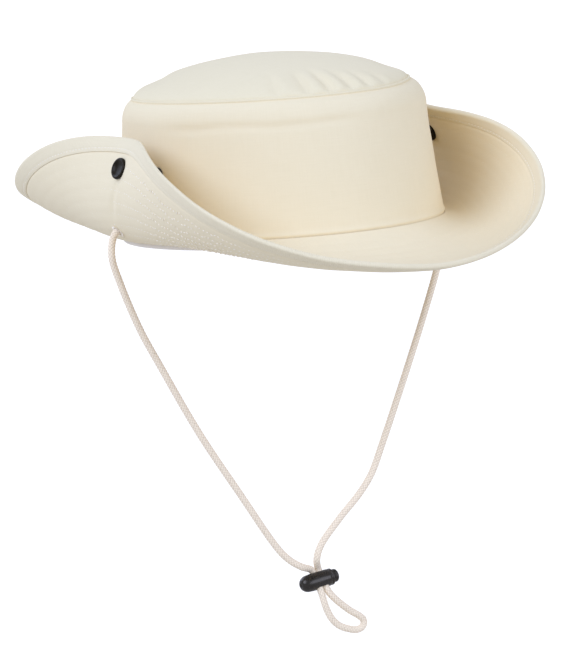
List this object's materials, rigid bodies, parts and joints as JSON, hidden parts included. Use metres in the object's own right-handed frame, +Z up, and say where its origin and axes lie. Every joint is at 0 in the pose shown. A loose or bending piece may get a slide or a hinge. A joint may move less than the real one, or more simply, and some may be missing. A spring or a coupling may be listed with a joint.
{
  "type": "outback hat",
  "caption": "Cream cotton outback hat with an oval crown, a wide brim curled up at the sides, black press snaps and a hanging chin cord with a cord lock.",
  "frame": {"origin": "middle of the head opening, level with the seam between the crown and the brim", "axes": "+Z up, the wearer faces -Y, and the wearer's left hand is on the +X side"},
  "size_m": [0.2278, 0.3322, 0.3256],
  "materials": {
    "canvas": "matt plain-weave cream cotton canvas",
    "canvas_top": "matt plain-weave off-white cotton canvas",
    "sweatband_cotton": "soft matt white cotton",
    "cord_cotton": "matt braided cotton cord",
    "snap_enamel": "semi-gloss black enamel on steel",
    "lock_plastic": "glossy black moulded plastic"
  },
  "bodies": {
    "hat": {"crown_side": "canvas", "crown_top": "canvas_top", "sweatband": "sweatband_cotton", "brim": "canvas", "brim_edge_band": "canvas", "flap_snap_right": "snap_enamel", "flap_snap_left": "snap_enamel", "crown_stud_right": "snap_enamel", "crown_stud_left": "snap_enamel", "chin_cord": "cord_cotton", "cord_knot_right": "cord_cotton", "cord_knot_left": "cord_cotton", "cord_lock_barrel": "lock_plastic"},
    "plunger": {"cord_lock_plunger": "lock_plastic"}
  },
  "joints": [
    {"name": "plunger_slide", "type": "slide", "parent": "hat", "child": "plunger", "axis": [-0.9945, 0, -0.1045], "range_m": [0, 0.0025], "stiffness_N_per_m": 1500}
  ]
}
